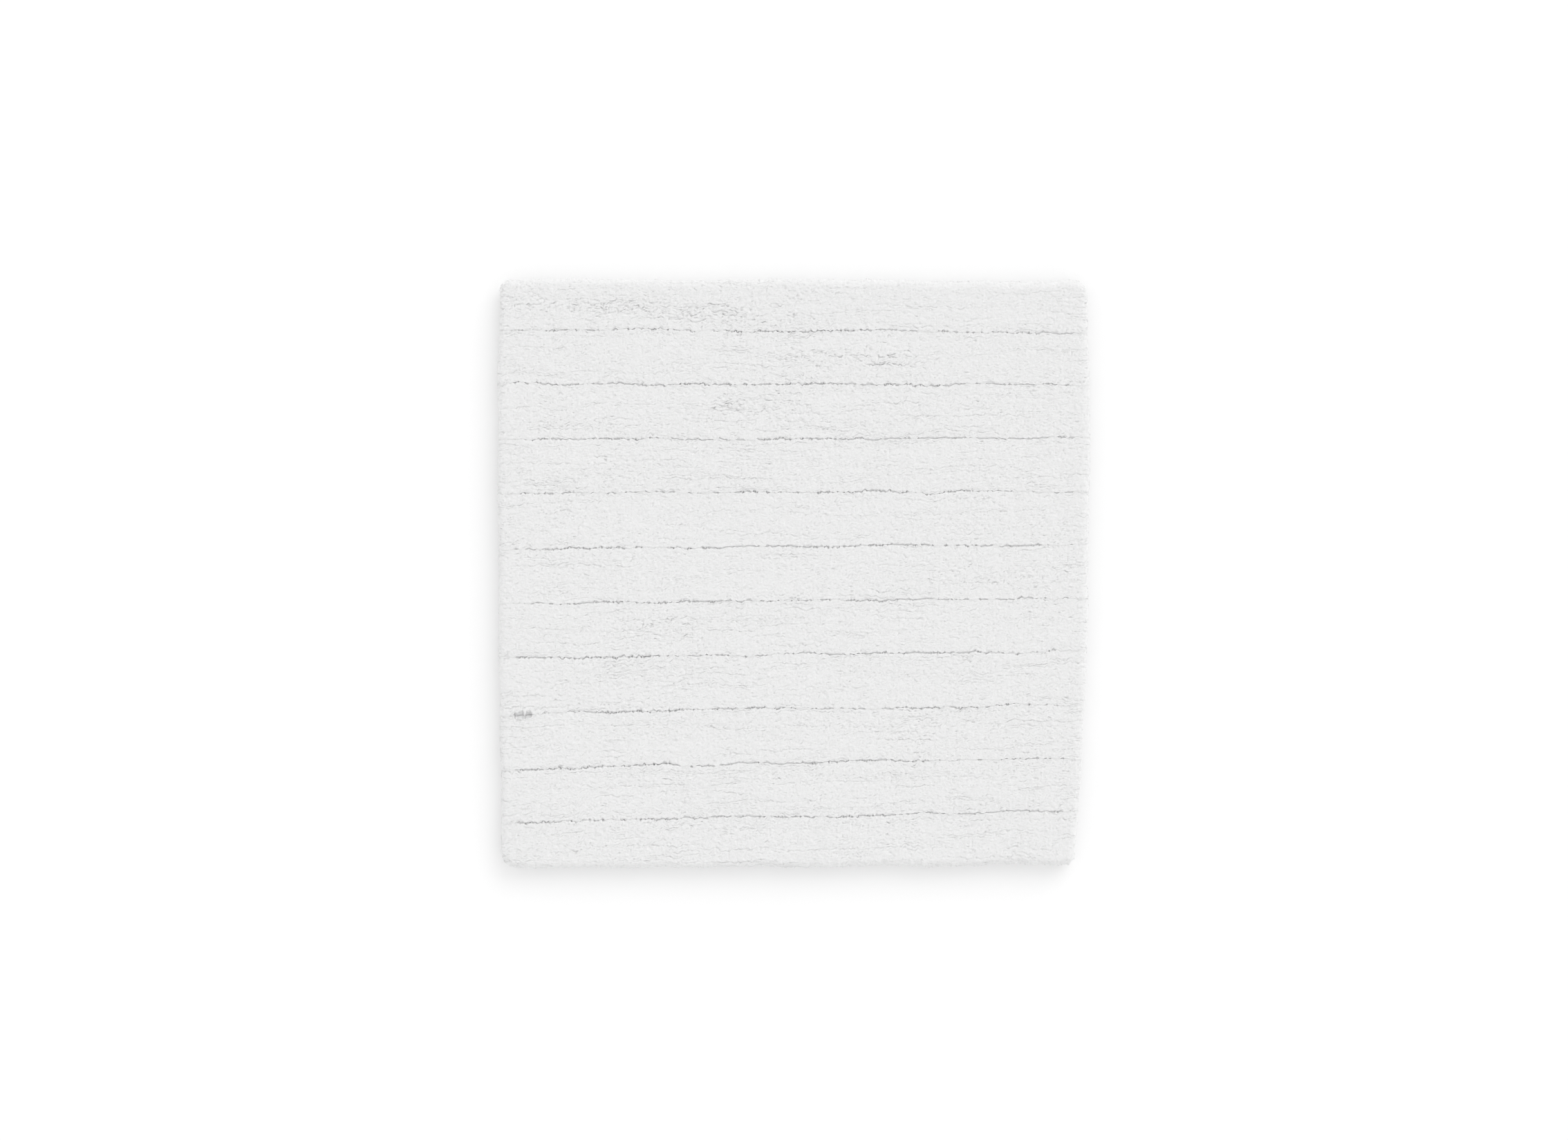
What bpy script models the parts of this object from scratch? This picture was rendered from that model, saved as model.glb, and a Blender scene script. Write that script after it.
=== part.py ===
"""Square tufted cotton bath mat: bands of cut pile on a ground cloth with a taped hem.

Metres, +Z up. The mat lies flat on the floor. +X runs along the grooves, +Y points to the back
edge, and the origin is on the floor below the middle of the outline. Run it with
blender --background --python part.py, or from Blender's text editor.
"""

import math

import bmesh
import bpy

MM = 0.001

# Gap between soft pieces that touch on the real mat.
CLEARANCE = 0.3 * MM

# Overall size, measured over the spread tips of the pile.
MAT_WIDTH = 600 * MM
MAT_DEPTH = 595 * MM
MAT_HEIGHT = 26 * MM
CORNER_RADIUS = 18 * MM

# Pile bands. The outermost bands are a little narrower than the others.
BAND_COUNT = 11
EDGE_BAND_TRIM = 2.25 * MM
GROOVE_GAP = 1.2 * MM
GROOVE_ROOT_GAP = 4.4 * MM
BAND_END_RADIUS = 6 * MM
SHOULDER_WIDTH = 12 * MM
SHOULDER_HEIGHT = 7 * MM

# Ground cloth. The pile hangs over its folded edge, and the outermost tufts stand inside it.
PILE_OVERHANG = 8 * MM
EDGE_TUFT_INSET = 1.5 * MM
CLOTH_THICKNESS = 0.8 * MM
HEM_TURN_WIDTH = 20 * MM

# Hem tape and the two rows of thread that hold it, measured inwards from the folded edge.
TAPE_THICKNESS = 1.2 * MM
TAPE_EDGE_INSET = 5 * MM
TAPE_WIDTH = 20 * MM
THREAD_DIAMETER = 0.5 * MM
THREAD_FLOOR_GAP = 0.05 * MM
STITCH_TAPE_MARGIN = 2.75 * MM

# Care label in a recess of the backing, sewn in at the left hem.
LABEL_LENGTH = 30 * MM
LABEL_WIDTH = 20 * MM
LABEL_THICKNESS = 0.5 * MM
LABEL_FLOOR_GAP = 0.2 * MM
LABEL_FROM_BACK = 90 * MM

# How the relaxed cloth lies: the sides draw in away from their widest line, and the rows of the
# left and right ends drift along the depth.
WIDEST_LINE = 0.37
LEFT_DRAW_IN = 2.4 * MM
RIGHT_DRAW_IN = 8.0 * MM
LEFT_DRIFT = (-4.0 * MM, 5.6 * MM)
RIGHT_DRIFT = (1.2 * MM, -4.2 * MM)
EDGE_HOLD = 0.7

# Steps along a side, a round corner, the flank and shoulder of a band, and the fold of the hem.
SIDE_STEPS = 8
CORNER_STEPS = 3
FLANK_STEPS = 2
SHOULDER_STEPS = 3
FOLD_STEPS = 4
SMALLEST_RADIUS = 1 * MM

# Heights above the floor, from the bottom up.
HEM_TURN_LOW = TAPE_THICKNESS + CLEARANCE
BACKING_TOP = HEM_TURN_LOW + CLOTH_THICKNESS
CLOTH_LOW = BACKING_TOP + CLEARANCE
CLOTH_TOP = CLOTH_LOW + CLOTH_THICKNESS
PILE_ROOT = CLOTH_TOP + CLEARANCE
SHOULDER_START = MAT_HEIGHT - SHOULDER_HEIGHT

# Half sizes and insets that follow from the sizes above.
HALF_WIDTH = MAT_WIDTH / 2
HALF_DEPTH = MAT_DEPTH / 2
CLOTH_HALF_WIDTH = HALF_WIDTH - PILE_OVERHANG
CLOTH_HALF_DEPTH = HALF_DEPTH - PILE_OVERHANG
CLOTH_RADIUS = max(CORNER_RADIUS - PILE_OVERHANG, SMALLEST_RADIUS)
BAND_PITCH = (MAT_DEPTH + 2 * EDGE_BAND_TRIM) / BAND_COUNT
TAPE_INNER_INSET = TAPE_EDGE_INSET + TAPE_WIDTH
STITCH_INSETS = {
    "hem_stitch_outer": TAPE_EDGE_INSET + STITCH_TAPE_MARGIN,
    "hem_stitch_inner": TAPE_INNER_INSET - STITCH_TAPE_MARGIN,
}
STITCH_GROOVE_WIDTH = THREAD_DIAMETER + 2 * CLEARANCE
STITCH_GROOVE_DEPTH = THREAD_FLOOR_GAP + THREAD_DIAMETER + CLEARANCE


# ---------------------------------------------------------------- outline and lie of the cloth


def relaxed(x, y):
    """Moves a point of the exactly square mat to where the relaxed cloth holds it."""
    u = x / HALF_WIDTH
    v = y / HALF_DEPTH
    left = ((1 - u) / 2) ** 2
    right = ((1 + u) / 2) ** 2
    drawn_in = (v - WIDEST_LINE) ** 2
    held = 1 - EDGE_HOLD * v**12
    left_drift = LEFT_DRIFT[0] + LEFT_DRIFT[1] * v
    right_drift = RIGHT_DRIFT[0] + RIGHT_DRIFT[1] * v
    return (
        x + (left * LEFT_DRAW_IN - right * RIGHT_DRAW_IN) * drawn_in,
        y + (left * left_drift + right * right_drift) * held,
    )


def rounded_outline(left, right, front, back, radii, steps):
    """Points of a rectangle with round corners, anticlockwise from its front left corner.

    radii go front left, front right, back right, back left. steps are the straight steps along
    X and along Y.
    """
    corners = ((left, front, 1, 1), (right, front, -1, 1), (right, back, -1, -1), (left, back, 1, -1))
    arcs = []
    for k, (x, y, to_x, to_y) in enumerate(corners):
        centre_x = x + to_x * radii[k]
        centre_y = y + to_y * radii[k]
        start = math.pi * (1 + k / 2)
        angles = [start + math.pi / 2 * j / CORNER_STEPS for j in range(CORNER_STEPS + 1)]
        unit = [(math.cos(a), math.sin(a)) for a in angles]
        arcs.append([(centre_x + radii[k] * a, centre_y + radii[k] * b) for a, b in unit])
    points = []
    for k, arc in enumerate(arcs):
        after = arcs[(k + 1) % 4][0]
        count = steps[k % 2]
        points += arc
        for j in range(1, count):
            share = j / count
            points.append(tuple(a + (b - a) * share for a, b in zip(arc[-1], after)))
    return points


def mat_box(points):
    """The middle of the outline's box once the cloth is relaxed."""
    xs, ys = zip(*(relaxed(x, y) for x, y in points))
    return (min(xs) + max(xs)) / 2, (min(ys) + max(ys)) / 2


MAT_MIDDLE = mat_box(
    rounded_outline(
        -HALF_WIDTH, HALF_WIDTH, -HALF_DEPTH, HALF_DEPTH, (CORNER_RADIUS,) * 4, (SIDE_STEPS, BAND_COUNT)
    )
)


def laid(x, y):
    """As relaxed, in the frame whose origin is below the middle of the outline."""
    to_x, to_y = relaxed(x, y)
    return to_x - MAT_MIDDLE[0], to_y - MAT_MIDDLE[1]


def level(points, z):
    """The points laid as the cloth lies, all at one height."""
    return [(*laid(x, y), z) for x, y in points]


def cloth_outline(inset):
    """The ground cloth's outline, drawn in by inset all round."""
    radius = max(CLOTH_RADIUS - inset, SMALLEST_RADIUS)
    return rounded_outline(
        inset - CLOTH_HALF_WIDTH,
        CLOTH_HALF_WIDTH - inset,
        inset - CLOTH_HALF_DEPTH,
        CLOTH_HALF_DEPTH - inset,
        (radius,) * 4,
        (SIDE_STEPS, SIDE_STEPS),
    )


# ---------------------------------------------------------------- scene, materials and objects


def linear(hex_colour):
    """An sRGB hex colour as the linear numbers that a shader takes."""
    found = []
    for start in (1, 3, 5):
        value = int(hex_colour[start : start + 2], 16) / 255
        found.append(value / 12.92 if value <= 0.04045 else ((value + 0.055) / 1.055) ** 2.4)
    return (*found, 1.0)


def material(name, hex_colour, roughness):
    """A plain non-metallic Principled material."""
    made = bpy.data.materials.new(name)
    made.use_nodes = True
    shader = made.node_tree.nodes["Principled BSDF"]
    shader.inputs["Base Color"].default_value = linear(hex_colour)
    shader.inputs["Roughness"].default_value = roughness
    shader.inputs["Metallic"].default_value = 0.0
    made.diffuse_color = linear(hex_colour)
    return made


def add_object(name, data, collection, at=(0, 0, 0), parent=None):
    """Puts a mesh, a curve or, with no data, an empty into the scene, with its origin at a point."""
    made = bpy.data.objects.new(name, data)
    collection.objects.link(made)
    made.parent = parent
    made.location = at
    return made


def mesh_from(name, bm, at):
    """The finished mesh, its normals outward and its points measured from the object's origin."""
    bmesh.ops.recalc_face_normals(bm, faces=bm.faces)
    bmesh.ops.translate(bm, verts=bm.verts, vec=[-value for value in at])
    data = bpy.data.meshes.new(name)
    bm.to_mesh(data)
    bm.free()
    data.shade_smooth()
    data.set_sharp_from_angle(angle=math.radians(40))
    return data


def loft(rings, cap_first=True, cap_last=True):
    """A skin between unlike sections that have equally many points, with flat faces on the ends."""
    bm = bmesh.new()
    loops = [[bm.verts.new(point) for point in ring] for ring in rings]
    for low, high in zip(loops, loops[1:]):
        for i in range(len(low)):
            j = (i + 1) % len(low)
            bm.faces.new((low[i], low[j], high[j], high[i]))
    if cap_first:
        bm.faces.new(reversed(loops[0]))
    if cap_last:
        bm.faces.new(loops[-1])
    return bm


# ---------------------------------------------------------------- the mat's pieces


def band_edges(number):
    """The front and back groove lines, or outline, of band number 1 (back) to BAND_COUNT (front)."""
    top = HALF_DEPTH + EDGE_BAND_TRIM
    front = max(top - number * BAND_PITCH, -HALF_DEPTH)
    back = min(top - (number - 1) * BAND_PITCH, HALF_DEPTH)
    return front, back


def band_levels():
    """From root to crown: height, inset at a groove and inset at the mat's outline."""
    levels = []
    for step in range(FLANK_STEPS):
        share = step / FLANK_STEPS
        lean = (1 - share) ** 2
        at_groove = GROOVE_GAP / 2 + (GROOVE_ROOT_GAP - GROOVE_GAP) / 2 * lean
        at_outline = (PILE_OVERHANG + EDGE_TUFT_INSET) * lean
        levels.append((PILE_ROOT + (SHOULDER_START - PILE_ROOT) * share, at_groove, at_outline))
    for step in range(SHOULDER_STEPS + 1):
        turn = math.pi / 2 * step / SHOULDER_STEPS
        inward = SHOULDER_WIDTH * (1 - math.cos(turn))
        levels.append((SHOULDER_START + SHOULDER_HEIGHT * math.sin(turn), GROOVE_GAP / 2 + inward, inward))
    return levels


def pile_band(number, collection, cotton, parent):
    """One band of cut pile: tufts that lean together over the grooves and fan out over the hem."""
    front, back = band_edges(number)
    is_first = number == 1
    is_last = number == BAND_COUNT
    radii = [CORNER_RADIUS if is_last else BAND_END_RADIUS] * 2
    radii += [CORNER_RADIUS if is_first else BAND_END_RADIUS] * 2
    rings = []
    for z, at_groove, at_outline in band_levels():
        at_front = at_outline if is_last else at_groove
        at_back = at_outline if is_first else at_groove
        ring_radii = [max(radius - at_outline, SMALLEST_RADIUS) for radius in radii]
        points = rounded_outline(
            at_outline - HALF_WIDTH,
            HALF_WIDTH - at_outline,
            front + at_front,
            back - at_back,
            ring_radii,
            (SIDE_STEPS, 1),
        )
        rings.append(level(points, z))
    at = (*laid(0, (front + back) / 2), PILE_ROOT)
    name = f"pile_band_{number:02d}"
    made = add_object(name, mesh_from(name, loft(rings), at), collection, at, parent)
    made.data.materials.append(cotton)


def base_cloth(collection, cotton, parent):
    """The woven ground cloth: a flat sheet whose edge folds under and runs back as the hem turn."""
    top = CLOTH_TOP - CLOTH_THICKNESS / 2
    turn = HEM_TURN_LOW + CLOTH_THICKNESS / 2
    fold_radius = (top - turn) / 2
    fold_inset = fold_radius + CLOTH_THICKNESS / 2
    rings = [level(cloth_outline(HEM_TURN_WIDTH), turn)]
    for step in range(FOLD_STEPS + 1):
        angle = math.pi * (step / FOLD_STEPS - 0.5)
        inset = fold_inset - fold_radius * math.cos(angle)
        rings.append(level(cloth_outline(inset), (top + turn) / 2 + fold_radius * math.sin(angle)))
    at = (0, 0, top)
    bm = loft(rings, cap_first=False)
    made = add_object("base_cloth", mesh_from("base_cloth", bm, at), collection, at, parent)
    made.data.materials.append(cotton)
    thick = made.modifiers.new("cloth thickness", "SOLIDIFY")
    thick.thickness = CLOTH_THICKNESS
    thick.offset = 0
    thick.use_even_offset = True


def tape_profile():
    """The tape's cross-section as (inset, height) points: flat, with a groove under each thread."""
    profile = [(TAPE_INNER_INSET, TAPE_THICKNESS), (TAPE_EDGE_INSET, TAPE_THICKNESS), (TAPE_EDGE_INSET, 0)]
    for inset in sorted(STITCH_INSETS.values()):
        near = inset - STITCH_GROOVE_WIDTH / 2
        far = inset + STITCH_GROOVE_WIDTH / 2
        profile += [(near, 0), (near, STITCH_GROOVE_DEPTH), (far, STITCH_GROOVE_DEPTH), (far, 0)]
    return profile + [(TAPE_INNER_INSET, 0)]


def hem_tape(side, collection, cotton, parent):
    """One length of hem tape with mitred ends, which meet the next length's along the diagonal."""
    along_x = side in ("front", "back")
    sign = 1 if side in ("back", "right") else -1
    half_run, half_across = CLOTH_HALF_WIDTH, CLOTH_HALF_DEPTH
    if not along_x:
        half_run, half_across = half_across, half_run
    mitre_relief = CLEARANCE / math.sqrt(2)
    rings = []
    for step in range(SIDE_STEPS + 1):
        share = 2 * step / SIDE_STEPS - 1
        ring = []
        for inset, z in tape_profile():
            run = share * (half_run - inset - mitre_relief)
            across = sign * (half_across - inset)
            ring.append((*(laid(run, across) if along_x else laid(across, run)), z))
        rings.append(ring)
    middle = sign * (half_across - TAPE_EDGE_INSET - TAPE_WIDTH / 2)
    at = (*(laid(0, middle) if along_x else laid(middle, 0)), 0)
    name = f"hem_tape_{side}"
    made = add_object(name, mesh_from(name, loft(rings), at), collection, at, parent)
    made.data.materials.append(cotton)


def hem_stitch(name, inset, collection, thread, parent):
    """A row of lockstitch thread round the whole hem, lying in the tape's groove."""
    half_width = CLOTH_HALF_WIDTH - inset
    half_depth = CLOTH_HALF_DEPTH - inset
    turns = ((-1, -1), (1, -1), (1, 1), (-1, 1))
    corners = [(side_x * half_width, side_y * half_depth) for side_x, side_y in turns]
    route = []
    for corner, after in zip(corners, corners[1:] + corners[:1]):
        for step in range(SIDE_STEPS):
            share = step / SIDE_STEPS
            route.append(laid(*(a + (b - a) * share for a, b in zip(corner, after))))
    z = THREAD_FLOOR_GAP + THREAD_DIAMETER / 2
    curve = bpy.data.curves.new(name, "CURVE")
    curve.dimensions = "3D"
    curve.bevel_depth = THREAD_DIAMETER / 2
    curve.bevel_resolution = 1
    curve.use_fill_caps = True
    spline = curve.splines.new("POLY")
    spline.points.add(len(route) - 1)
    for point, (x, y) in zip(spline.points, route):
        point.co = (x, y, 0, 1)
    spline.use_cyclic_u = True
    made = add_object(name, curve, collection, (0, 0, z), parent)
    made.data.materials.append(thread)


def box(name, low, high, collection, parent=None):
    """A box between two corners, with its origin in the middle."""
    at = [(a + b) / 2 for a, b in zip(low, high)]
    bm = bmesh.new()
    bmesh.ops.create_cube(bm, size=1)
    bmesh.ops.scale(bm, verts=bm.verts, vec=[b - a for a, b in zip(low, high)])
    bmesh.ops.translate(bm, verts=bm.verts, vec=at)
    return add_object(name, mesh_from(name, bm, at), collection, at, parent)


def label_corners():
    """The care label's lowest and highest corners: it starts at the left tape's inner edge."""
    tape_edge_x = TAPE_INNER_INSET - CLOTH_HALF_WIDTH
    y = HALF_DEPTH - LABEL_FROM_BACK
    edges = [laid(tape_edge_x, y + side * LABEL_WIDTH / 2)[0] for side in (-1, 1)]
    x = max(edges) + CLEARANCE
    y = laid(tape_edge_x, y)[1]
    low = (x, y - LABEL_WIDTH / 2, LABEL_FLOOR_GAP)
    high = (x + LABEL_LENGTH, y + LABEL_WIDTH / 2, LABEL_FLOOR_GAP + LABEL_THICKNESS)
    return low, high


def care_label(collection, cotton, parent):
    """A blank folded cotton label, lying flat against the backing."""
    made = box("care_label", *label_corners(), collection, parent)
    made.data.materials.append(cotton)


def latex_backing(collection, cutters, latex, parent):
    """The anti-slip coat inside the hem, with a shallow recess that the label lies in."""
    outline = cloth_outline(TAPE_INNER_INSET + CLEARANCE)
    rings = [level(outline, 0), level(outline, BACKING_TOP)]
    data = mesh_from("latex_backing", loft(rings), (0, 0, 0))
    made = add_object("latex_backing", data, collection, parent=parent)
    made.data.materials.append(latex)
    low, high = label_corners()
    past_edge = LABEL_WIDTH / 2
    cutter = box(
        "label_recess",
        (low[0] - past_edge, low[1] - CLEARANCE, -past_edge),
        (high[0] + CLEARANCE, high[1] + CLEARANCE, high[2] + CLEARANCE),
        cutters,
    )
    cutter.hide_render = True
    cutter.display_type = "WIRE"
    cut = made.modifiers.new("label recess", "BOOLEAN")
    cut.operation = "DIFFERENCE"
    cut.object = cutter


def build():
    """Clears the scene and makes the mat."""
    for old in list(bpy.data.objects):
        bpy.data.objects.remove(old)
    parts = bpy.data.collections.new("bath_mat")
    cutters = bpy.data.collections.new("cutters")
    for collection in (parts, cutters):
        bpy.context.scene.collection.children.link(collection)
    mat = add_object("bath_mat_origin", None, parts)

    pile_cotton = material("cut_pile_cotton", "#ECECEC", 0.95)
    woven_cotton = material("woven_ground_cotton", "#DEDEDC", 0.9)
    tape_cotton = material("twill_tape_cotton", "#E6E5E1", 0.85)
    thread = material("lockstitch_thread", "#EDEBE4", 0.7)
    label_cotton = material("label_cotton", "#F1F0EC", 0.8)
    latex = material("cured_latex", "#DAD5C6", 0.6)

    base_cloth(parts, woven_cotton, mat)
    for number in range(1, BAND_COUNT + 1):
        pile_band(number, parts, pile_cotton, mat)
    for side in ("front", "back", "left", "right"):
        hem_tape(side, parts, tape_cotton, mat)
    for name, inset in STITCH_INSETS.items():
        hem_stitch(name, inset, parts, thread, mat)
    care_label(parts, label_cotton, mat)
    latex_backing(parts, cutters, latex, mat)


build()
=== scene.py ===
"""Looks of the tufted cotton bath mat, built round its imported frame.

All sizes are in metres in the frame's own coordinates: +X along the grooves, +Y to the back edge,
+Z up. Each piece replaces the CAD solid that holds its place.
"""

import math

import bpy
import numpy as np
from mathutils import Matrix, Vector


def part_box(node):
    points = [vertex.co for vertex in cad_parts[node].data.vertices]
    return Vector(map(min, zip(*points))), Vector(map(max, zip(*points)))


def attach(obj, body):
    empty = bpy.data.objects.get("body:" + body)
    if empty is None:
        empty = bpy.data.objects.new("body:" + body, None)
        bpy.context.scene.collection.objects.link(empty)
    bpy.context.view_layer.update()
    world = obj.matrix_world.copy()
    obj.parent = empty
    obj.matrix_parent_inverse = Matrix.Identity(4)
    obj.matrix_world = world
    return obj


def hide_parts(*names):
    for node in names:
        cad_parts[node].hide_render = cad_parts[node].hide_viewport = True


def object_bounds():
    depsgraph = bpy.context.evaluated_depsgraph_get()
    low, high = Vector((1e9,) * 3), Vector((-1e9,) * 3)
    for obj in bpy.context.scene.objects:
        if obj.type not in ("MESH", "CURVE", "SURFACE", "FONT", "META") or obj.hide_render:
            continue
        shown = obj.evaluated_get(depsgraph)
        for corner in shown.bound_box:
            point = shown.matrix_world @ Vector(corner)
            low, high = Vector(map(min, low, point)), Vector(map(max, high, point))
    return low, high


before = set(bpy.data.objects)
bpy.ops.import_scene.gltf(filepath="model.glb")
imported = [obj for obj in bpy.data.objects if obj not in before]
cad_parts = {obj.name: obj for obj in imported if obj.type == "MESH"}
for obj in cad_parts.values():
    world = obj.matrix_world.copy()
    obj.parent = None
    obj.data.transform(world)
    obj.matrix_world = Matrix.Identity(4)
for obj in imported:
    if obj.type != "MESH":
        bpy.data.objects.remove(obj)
CAD_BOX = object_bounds()

MM = 0.001

# ---------------------------------------------------------------- sizes taken from the frame

HALF_WIDTH = (CAD_BOX[1].x - CAD_BOX[0].x) / 2
CLOTH_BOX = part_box("base_cloth")
PILE_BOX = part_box("pile_band_06")
TAPE_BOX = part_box("hem_tape_back")
THREAD_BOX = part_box("hem_stitch_outer")
BACKING_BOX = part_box("latex_backing")
LABEL_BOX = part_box("care_label")
FLOOR_HEIGHT = CAD_BOX[0].z

# ---------------------------------------------------------------- sizes of the make

# The mat before its cloth relaxes: exactly square, with grooves at an even pitch.
HALF_DEPTH = 297.5 * MM
BAND_COUNT = 11
EDGE_BAND_TRIM = 2.25 * MM
BAND_PITCH = 2 * (HALF_DEPTH + EDGE_BAND_TRIM) / BAND_COUNT
PILE_OVERHANG = 8 * MM
CORNER_RADIUS = 18 * MM
# The pile's own corner radii, left and right.
BACK_CORNERS = (13 * MM, 16 * MM)
FRONT_CORNERS = (22 * MM, 8 * MM)

# The ground cloth, its hem and the tape sewn under it.
CLOTH_HALF_WIDTH = HALF_WIDTH - PILE_OVERHANG
CLOTH_HALF_DEPTH = HALF_DEPTH - PILE_OVERHANG
CLOTH_RADIUS = 10 * MM
CLOTH_THICKNESS = 0.8 * MM
CLOTH_THREAD = 1.1 * MM
HEM_TURN_WIDTH = 20 * MM
TAPE_EDGE_INSET = 5 * MM
TAPE_WIDTH = 20 * MM
TAPE_INNER_INSET = TAPE_EDGE_INSET + TAPE_WIDTH
TWILL_PITCH = 1.3 * MM
STITCH_INSETS = {"outer": 7.75 * MM, "inner": 22.25 * MM}
STITCH_LENGTH = 3.5 * MM
STITCH_REACH = 3.1 * MM
STITCH_DIVE = 0.75 * MM
STITCH_DIMPLE = 0.3 * MM
HEM_PUCKER = 0.35 * MM
CLOTH_RIPPLE = 0.1 * MM
TAPE_RIPPLE = 0.07 * MM
CLEARANCE = 0.3 * MM
BACK_ROW_PITCH = 2.6 * MM
BACK_ROW_RELIEF = 0.35 * MM
RECESS_LIP = 0.15 * MM
LABEL_LAYER = 0.19 * MM
LABEL_THREAD = 0.35 * MM

# How the relaxed cloth lies, as in the frame.
WIDEST_LINE = 0.37
LEFT_DRAW_IN = 2.4 * MM
RIGHT_DRAW_IN = 8.0 * MM
LEFT_DRIFT = (-4.0 * MM, 5.6 * MM)
RIGHT_DRIFT = (1.2 * MM, -4.2 * MM)
EDGE_HOLD = 0.7

# The pile. Cut yarn ends stand in rows along X and bloom into one felted surface.
ROW_PITCH = 2.6 * MM
YARN_PITCH = 2.1 * MM
END_DOME = 1.0 * MM
CREVICE_DEPTH = 1.9 * MM
CREVICE_WIDTH = 0.36 * MM
PIT_DEPTH = 2.2 * MM
CURL_DEPTH = 1.1 * MM
CURL_WIDTH = 0.13

# The grooves: how deep they lie open and how deep they spread, each with the height over which it
# closes.
OPEN_DEPTH = 2.3 * MM
OPEN_CLOSES = 1.1 * MM
SPREAD_DEPTH = 4.2 * MM
SPREAD_CLOSES = 2 * MM
# How open the pile is, from 0 to 1, over a closed groove, how much more in an open stretch, and how
# long in mm such a stretch takes to open.
CLOSED_OPENNESS = 0.26
STRETCH_OPENNESS = 0.45
STRETCH_FADE = 9
# How far a groove's sides lap over its line, in mm, where the pile closes over it and at its ends,
# and how deep the lap at the ends goes.
GROOVE_LAP = 0.3
END_LAP = 1.3
END_LAP_DEPTH = 6 * MM
# How far in from the outline the pile closes a groove's end, and over what length it then opens.
END_CLOSED = 7 * MM
END_OPENS = 12 * MM
# How far from a groove its sides lean, and how deep its shoulders are filled up where it is closed.
LEAN_REACH = 6 * MM
FILLED_DEPTH = 1.6 * MM

# Where the relief of the crown fades out: over a groove's shoulder and round an outer corner.
SHOULDER_FADE = 2 * MM
CORNER_FADE = 9 * MM

# Mesh spacing along X and Y, and the places down a flank where it has points.
GRID_X = 0.95 * MM
GRID_Y = 0.55 * MM
FLANK_SHARES = np.array([0.03, 0.06, 0.09, 0.13, 0.2, 0.27, 0.35, 0.65, 1])

# Where each groove lies open, from and to along X in mm. Elsewhere the pile nearly closes over it.
OPEN_STRETCHES = {
    1: ((-85, 117), (207, 292)),
    2: ((-184, -60), (-40, 27), (60, 243)),
    3: ((-264, -85), (-40, 117), (140, 292)),
    4: ((-60, -20), (19, 162)),
    5: ((-283, -198), (-130, 140), (185, 252)),
    6: ((-220, -175), (-139, -40), (50, 140), (185, 243)),
    7: ((-283, -130), (32, 207)),
    8: ((-206, -27), (86, 140)),
    9: ((-283, -123), (-103, 140)),
    10: ((-283, -198), (-184, 158), (185, 284)),
}
# Places where a groove has spread: its number, then the middle along X, the half length and the
# spread in mm.
SPREADS = (
    (8, -275, 12, 3.0),
    (7, -152, 18, 0.4),
    (9, -133, 14, 0.3),
    (8, -135, 30, 0.2),
    (1, 20, 60, 0.1),
)
# Roughed patches with more crevices: middle X and Y, half sizes along X and Y, all in mm, and how
# strong.
ROUGHED = (
    (-235, 269, 70, 11, 1.0),
    (-150, 266, 80, 12, 1.0),
    (-70, 262, 70, 10, 0.9),
    (57, 218, 128, 12, 0.8),
    (-51, 165, 70, 13, 0.7),
    (-190, 117, 16, 7, 0.6),
    (196, -10, 79, 5, 0.5),
    (-141, -51, 65, 14, 0.9),
    (-60, -153, 190, 5, 0.5),
    (40, -207, 220, 6, 0.5),
    (0, -257, 250, 5, 0.5),
    (97, 211, 25, 2, 1.2),
    (16, -229, 20, 2, 1.0),
)
# Long creases, where whole tuft rows lean apart: from and to along X and their Y in mm, and how deep
# they are. Their ends fade out over a length in mm.
CREASE_FADE = 15
LONG_CREASES = (
    (-285, -55, 256, 0.55),
    (-10, 145, 252, 0.5),
    (85, 285, 179, 0.35),
    (-272, 30, -95, 0.35),
    (-205, -60, -150, 0.45),
    (-190, 60, -201, 0.4),
    (-175, 110, -211, 0.45),
)

# The pile's sides: how far the shoulder reaches out, how far it drops, how much the flank draws
# back in at the roots, the length of surface from crown to root, and the shoulder's share of it.
OUTLINE_SIDE = {"reach": 7.5 * MM, "drop": 5.5 * MM, "draw": 6 * MM, "length": 27 * MM, "turn": 0.4}
GROOVE_SIDE = {"reach": 1.1 * MM, "drop": 0.9 * MM, "draw": 0.8 * MM, "length": 23 * MM, "turn": 0.07}
OUTLINE_INSET = 1.5 * MM

# The yarns that hang over the mat's sides: they rise from the hem and end below the shoulder.
YARN_ROWS = 4
YARN_SPACING = 2.0 * MM
YARN_SIDES = 5
YARN_REACH = 7.5 * MM
YARN_STAND = 1.1 * MM
YARN_RADIUS = 1.25 * MM
# A yarn's rings: how far along it lies, how far it stands off, and its thickness.
YARN_RINGS = ((0, -0.6, 0.55), (0.4, 0.5, 1.0), (0.8, 0.25, 0.8), (1.0, -0.7, 0.12))
# How much the yarns' places, directions, lengths and thicknesses vary.
YARN_SCATTER = 0.3
YARN_FAN = 0.16
YARN_LENGTH_VARIES = 0.15
YARN_RADIUS_VARIES = 0.1
# The rows' seats, as shares of the way from crown to root, and how far past the crown's corners a
# row runs on, as a share of its distance from the crown.
YARN_SEATS = (0.96, 0.8)
CORNER_SHARE = 0.7

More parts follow.
